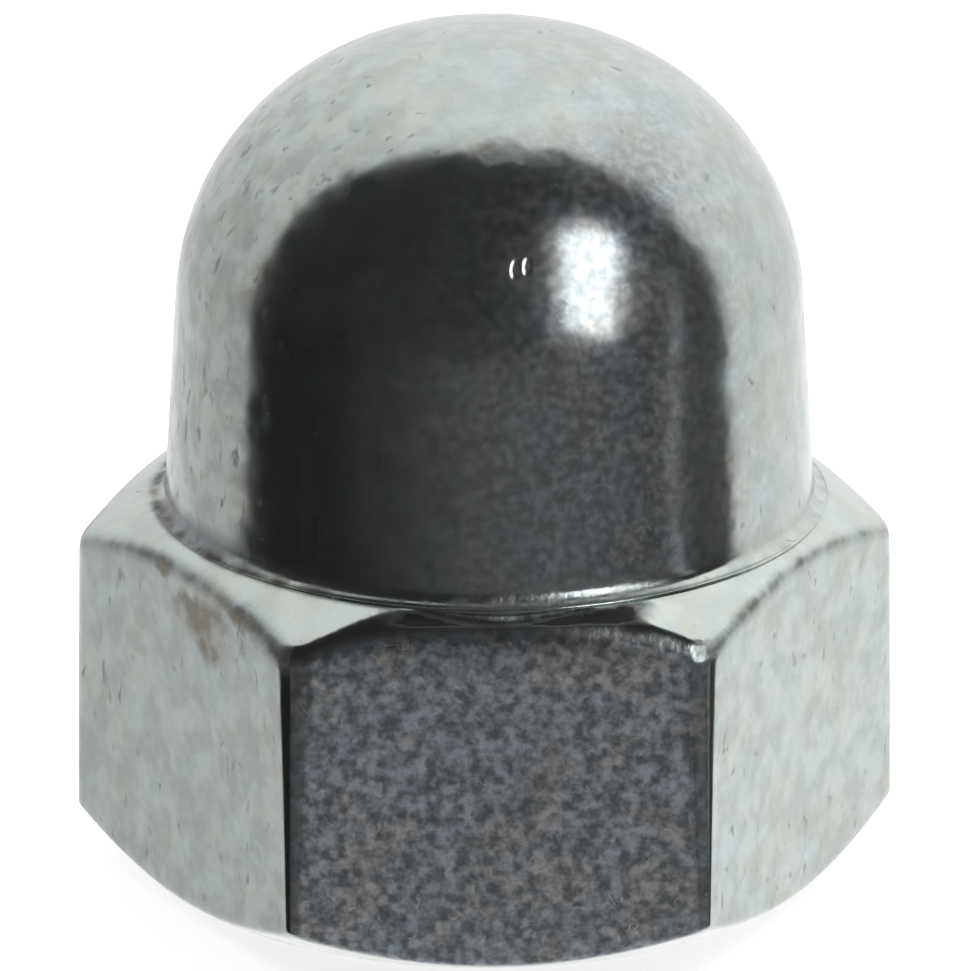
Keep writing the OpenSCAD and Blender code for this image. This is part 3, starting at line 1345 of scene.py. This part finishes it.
@dataclass
class Studio:
    """A white sweep behind and beside the nut, a dark room in front of it, and one softbox.

    The sweep fills the directions that lie behind two planes through the nut, one for each side.
    """

    aim_z: float = 9.72
    camera_distance: float = 270.0
    camera_heading: float = math.radians(-2.2)
    camera_elevation: float = math.radians(19.95)
    lens_mm: float = 397.0
    clip_near: float = 10.0
    clip_far: float = 3000.0
    floor_half: float = 600.0
    softbox_heading: float = math.radians(39.8)
    softbox_elevation: float = math.radians(28.5)
    softbox_lean: float = math.radians(19)
    softbox_distance: float = 400.0
    softbox_width: float = 138.0
    softbox_height: float = 285.0
    softbox_radiance: float = 4.0
    floor_colour: str = "#f4f4f2"
    floor_glow: float = 0.8
    # Normal and offset of each plane. A direction is one of the sweep's where dot product + offset > 0.
    sweep_planes: tuple[tuple[tuple[float, float, float], float], ...] = (
        ((0.21, 1.0, -0.02), 0.04),
        ((0.014, 1.0, 0.05), -0.058),
    )
    sweep_edge: float = 0.033
    sweep_level: tuple[Fade, ...] = (
        Fade("X", -1.0, 0.3, 0.625, 1.1),
        Fade("Z", -0.34, -0.25, 1.17, 1.0),
        Fade("Z", -0.1, 0.6, 0.93, 1.18),
    )
    # The room's level at and under the horizon, the level high up, and the change between them.
    low_room_level: tuple[Fade, ...] = (Fade("X", -0.8, 0.3, 0.015, 0.126), Fade("X", 0.7, 0.8, 1.0, 0.4))
    high_room_level: float = 0.026
    low_to_high: tuple[Fade, ...] = (Fade("Z", -0.1, 0.2),)
    doorway_plane: tuple[float, float, float] = (0.357, 0.921, -0.159)
    doorway_level: float = 0.4
    doorway_half: float = 0.02
    doorway_edge: float = 0.05
    doorway_from_x: float = 0.5
    doorway_top: tuple[Fade, ...] = (Fade("Z", 0.3, 0.42, 1.0, 0.0),)

    def build(self) -> list[bpy.types.ID]:
        """Make the floor, the softbox, the surroundings and the camera, and return them."""
        return [self.floor(), self.softbox(), self.surroundings(), self.camera()]

    @staticmethod
    def direction(heading: float, elevation: float) -> Vector:
        """Unit vector from the nut towards a heading, counted from the front (-Y) towards +X."""
        return Vector((
            math.sin(heading) * math.cos(elevation),
            -math.cos(heading) * math.cos(elevation),
            math.sin(elevation),
        ))

    def floor(self) -> bpy.types.Object:
        """Plain pale floor under the bearing face. It glows a little, so that shadows stay faint.

        Returns:
            The floor.
        """
        half = self.floor_half * MM
        mesh = bpy.data.meshes.new("floor")
        corners = [(-half, -half, 0), (half, -half, 0), (half, half, 0), (-half, half, 0)]
        mesh.from_pydata(corners, [], [(0, 1, 2, 3)])
        material = bpy.data.materials.new("pale_floor")
        material.use_nodes = True
        tree = material.node_tree
        tree.nodes.clear()
        matt = add_node(tree, "ShaderNodeBsdfDiffuse", {"Color": linear(self.floor_colour)})
        glow = add_node(
            tree, "ShaderNodeEmission", {"Color": linear("#ffffff"), "Strength": self.floor_glow}
        )
        both = add_node(tree, "ShaderNodeAddShader", {0: matt, 1: glow})
        add_node(tree, "ShaderNodeOutputMaterial", {"Surface": both})
        mesh.materials.append(material)
        floor = bpy.data.objects.new("floor", mesh)
        floor.visible_glossy = False
        bpy.context.collection.objects.link(floor)
        return floor

    def softbox(self) -> bpy.types.Object:
        """Rectangular softbox, high in front and to the right, its top leaning over to the right.

        Its energy is the radiance times pi times its area.

        Returns:
            The lamp.
        """
        light = bpy.data.lights.new("softbox", "AREA")
        light.shape = "RECTANGLE"
        light.size, light.size_y = self.softbox_width * MM, self.softbox_height * MM
        light.energy = self.softbox_radiance * math.pi * light.size * light.size_y
        lamp = bpy.data.objects.new("softbox", light)
        toward = self.direction(self.softbox_heading, self.softbox_elevation)
        lamp.location = Vector((0, 0, self.aim_z * MM)) + toward * self.softbox_distance * MM
        facing = (-toward).to_track_quat("-Z", "Y") @ Quaternion((0, 0, 1), -self.softbox_lean)
        lamp.rotation_euler = facing.to_euler()
        lamp.visible_diffuse = False
        bpy.context.collection.objects.link(lamp)
        return lamp

    def surroundings(self) -> bpy.types.World:
        """Light by direction: the bright sweep where both planes say so, and the dark room elsewhere.

        The sweep's level grows from left to right. The room's does too, up to a darker band on its
        far right, and it is low everywhere above the horizon. The camera itself sees plain white.

        Returns:
            The world.
        """
        world = bpy.data.worlds.new("sweep_and_dark_room")
        world.use_nodes = True
        tree = world.node_tree
        tree.nodes.clear()
        toward = add_node(tree, "ShaderNodeTexCoord", output="Generated")
        behind = 1.0
        for normal, offset in self.sweep_planes:
            past = add_node(
                tree, "ShaderNodeVectorMath", {0: toward, 1: normal}, "Value", operation="DOT_PRODUCT"
            )
            past = add_node(tree, "ShaderNodeMath", {0: past, 1: offset}, operation="ADD")
            behind = add_node(tree, "ShaderNodeMath", {0: behind, 1: past}, operation="MINIMUM")
        lit = add_node(
            tree, "ShaderNodeMapRange",
            {"Value": behind, "From Min": -self.sweep_edge, "From Max": self.sweep_edge},
            interpolation_type="SMOOTHSTEP",
        )
        room = add_node(
            tree, "ShaderNodeMix",
            {
                0: self.faded(tree, toward, self.low_to_high),
                2: self.faded(tree, toward, self.low_room_level),
                3: self.high_room_level,
            },
            data_type="FLOAT",
        )
        room = add_node(tree, "ShaderNodeMath", {0: room, 1: self.doorway(tree, toward)}, operation="ADD")
        sweep = self.faded(tree, toward, self.sweep_level)
        level = add_node(tree, "ShaderNodeMix", {0: lit, 2: room, 3: sweep}, data_type="FLOAT")
        seen = add_node(tree, "ShaderNodeLightPath", output="Is Camera Ray")
        level = add_node(tree, "ShaderNodeMix", {0: seen, 2: level, 3: 1.0}, data_type="FLOAT")
        light = add_node(tree, "ShaderNodeBackground", {"Color": (1, 1, 1, 1), "Strength": level})
        add_node(tree, "ShaderNodeOutputWorld", {"Surface": light})
        bpy.context.scene.world = world
        return world

    @staticmethod
    def faded(
        tree: bpy.types.NodeTree, toward: bpy.types.NodeSocket, fades: tuple[Fade, ...]
    ) -> bpy.types.NodeSocket:
        """Product of some fades' levels.

        Args:
            tree: Node tree of the world.
            toward: Direction looked in.
            fades: The fades.

        Returns:
            The product for each direction, as a socket.
        """
        product = 1.0
        for fade in fades:
            level = add_node(tree, "ShaderNodeMapRange", {
                "Value": add_node(tree, "ShaderNodeSeparateXYZ", {0: toward}, fade.axis),
                "From Min": fade.start,
                "From Max": fade.end,
                "To Min": fade.start_level,
                "To Max": fade.end_level,
            })
            product = add_node(tree, "ShaderNodeMath", {0: product, 1: level}, operation="MULTIPLY")
        return product

    def doorway(
        self, tree: bpy.types.NodeTree, toward: bpy.types.NodeSocket
    ) -> bpy.types.NodeSocket:
        """A narrow upright strip of light in the room's right side, which draws a faint line on the dome.

        It lies along a plane through the nut, right of doorway_from_x, and ends at its top.

        Args:
            tree: Node tree of the world.
            toward: Direction looked in.

        Returns:
            The strip's level for each direction, as a socket.
        """
        across = add_node(
            tree, "ShaderNodeVectorMath", {0: toward, 1: self.doorway_plane}, "Value",
            operation="DOT_PRODUCT",
        )
        across = add_node(tree, "ShaderNodeMath", {0: across}, operation="ABSOLUTE")
        strip = add_node(
            tree, "ShaderNodeMapRange",
            {
                "Value": across,
                "From Min": self.doorway_edge,
                "From Max": self.doorway_half,
                "To Max": self.doorway_level,
            },
            interpolation_type="SMOOTHSTEP",
        )
        x = add_node(tree, "ShaderNodeSeparateXYZ", {0: toward}, "X")
        right = add_node(tree, "ShaderNodeMath", {0: x, 1: self.doorway_from_x}, operation="GREATER_THAN")
        strip = add_node(tree, "ShaderNodeMath", {0: strip, 1: right}, operation="MULTIPLY")
        low = self.faded(tree, toward, self.doorway_top)
        return add_node(tree, "ShaderNodeMath", {0: strip, 1: low}, operation="MULTIPLY")

    def camera(self) -> bpy.types.Object:
        """Long-lens camera, a little to the left of square on to the front flat and looking down.

        Returns:
            The camera, which the scene now uses.
        """
        lens = bpy.data.cameras.new("camera")
        lens.lens = self.lens_mm
        lens.clip_start, lens.clip_end = self.clip_near * MM, self.clip_far * MM
        camera = bpy.data.objects.new("camera", lens)
        toward = self.direction(self.camera_heading, self.camera_elevation)
        camera.location = Vector((0, 0, self.aim_z * MM)) + toward * self.camera_distance * MM
        camera.rotation_euler = (-toward).to_track_quat("-Z", "Y").to_euler()
        bpy.context.collection.objects.link(camera)
        bpy.context.scene.camera = camera
        return camera


def make_nut() -> CapNut:
    """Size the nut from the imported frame: its box, and the thread's wall radius and length.

    Returns:
        The nut, ready to build.
    """
    low, high = (np.array(corner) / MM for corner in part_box(NODE))
    thread = next(mount for mount in frame["record"]["mounts"] if mount["name"] == "thread")
    wall_r = thread["dims"]["r_mm"]
    wall_end = thread["pos_m"][2] / MM + thread["dims"]["length_mm"] / 2
    body = HexagonBody(across_flats=high[1] - low[1])
    return CapNut(
        body=body,
        dome=Dome(top_z=high[2], foot_z=body.height),
        hole=TappedHole(wall_r=wall_r, depth=wall_end),
    )


def main() -> None:
    """Build the nut and its studio, and report each piece."""
    logging.basicConfig(level=logging.INFO, format="%(name)s: %(message)s")
    nut = make_nut().build()
    sides = [round(side / MM, 2) for side in nut.dimensions]
    LOG.info("%s: %d triangles, box %s", nut.name, len(nut.data.polygons), sides)
    for thing in Studio().build():
        LOG.info("studio: %s", thing.name)
    bpy.context.scene.view_settings.view_transform = "Standard"


if __name__ == "__main__":
    main()
